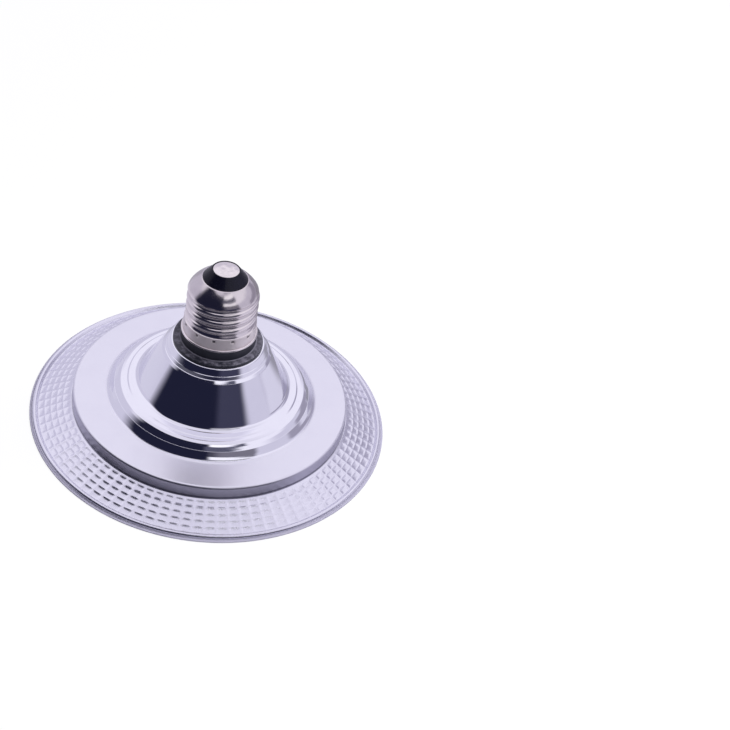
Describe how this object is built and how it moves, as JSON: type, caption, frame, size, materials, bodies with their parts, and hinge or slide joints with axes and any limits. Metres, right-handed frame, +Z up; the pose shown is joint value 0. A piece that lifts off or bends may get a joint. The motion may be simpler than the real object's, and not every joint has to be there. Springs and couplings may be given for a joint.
{
  "type": "led grow light bulb",
  "caption": "Screw-cap LED grow light bulb: bell-shaped polished housing, round board of light chips behind a clear lens, and a faceted mirror rim.",
  "frame": {"origin": "centre of the rim's underside, on the surface that the lamp stands on", "axes": "+Z up along the lamp's axis, from the rim to the cap's centre contact; -Y is the side that faces the picture's camera"},
  "size_m": [0.135, 0.135, 0.0698],
  "materials": {
    "reflector": "vacuum-metallised facets",
    "lens": "clear moulded plastic",
    "housing": "polished sheet with a satin pan",
    "led_board": "white solder mask",
    "outer_ring_leds": "phosphor window in a white package",
    "inner_ring_leds": "phosphor window in a white package",
    "grow_leds": "clear window in a white package",
    "board_screws": "nickel plated",
    "driver_case": "moulded",
    "driver_board": "dark solder mask",
    "electrolytic_capacitor": "sleeved can",
    "film_capacitor": "dipped",
    "inductor": "ferrite and sleeve",
    "bridge_rectifier": "moulded",
    "fuse_resistor": "lacquered",
    "red_lead": "insulated wire",
    "white_lead": "insulated wire",
    "solder_joints": "tin solder",
    "live_lead": "insulated wire",
    "neutral_lead": "insulated wire",
    "cap_shell": "nickel-plated sheet",
    "cap_insulator": "black insulator",
    "center_contact": "tinned"
  },
  "bodies": {
    "root": {"reflector": "reflector", "lens": "lens", "housing": "housing", "led_board": "led_board", "outer_ring_leds": "outer_ring_leds", "inner_ring_leds": "inner_ring_leds", "grow_leds": "grow_leds", "board_screws": "board_screws", "driver_case": "driver_case", "driver_board": "driver_board", "electrolytic_capacitor": "electrolytic_capacitor", "film_capacitor": "film_capacitor", "inductor": "inductor", "bridge_rectifier": "bridge_rectifier", "fuse_resistor": "fuse_resistor", "red_lead": "red_lead", "white_lead": "white_lead", "solder_joints": "solder_joints", "live_lead": "live_lead", "neutral_lead": "neutral_lead", "cap_shell": "cap_shell", "cap_insulator": "cap_insulator", "center_contact": "center_contact"}
  },
  "joints": []
}
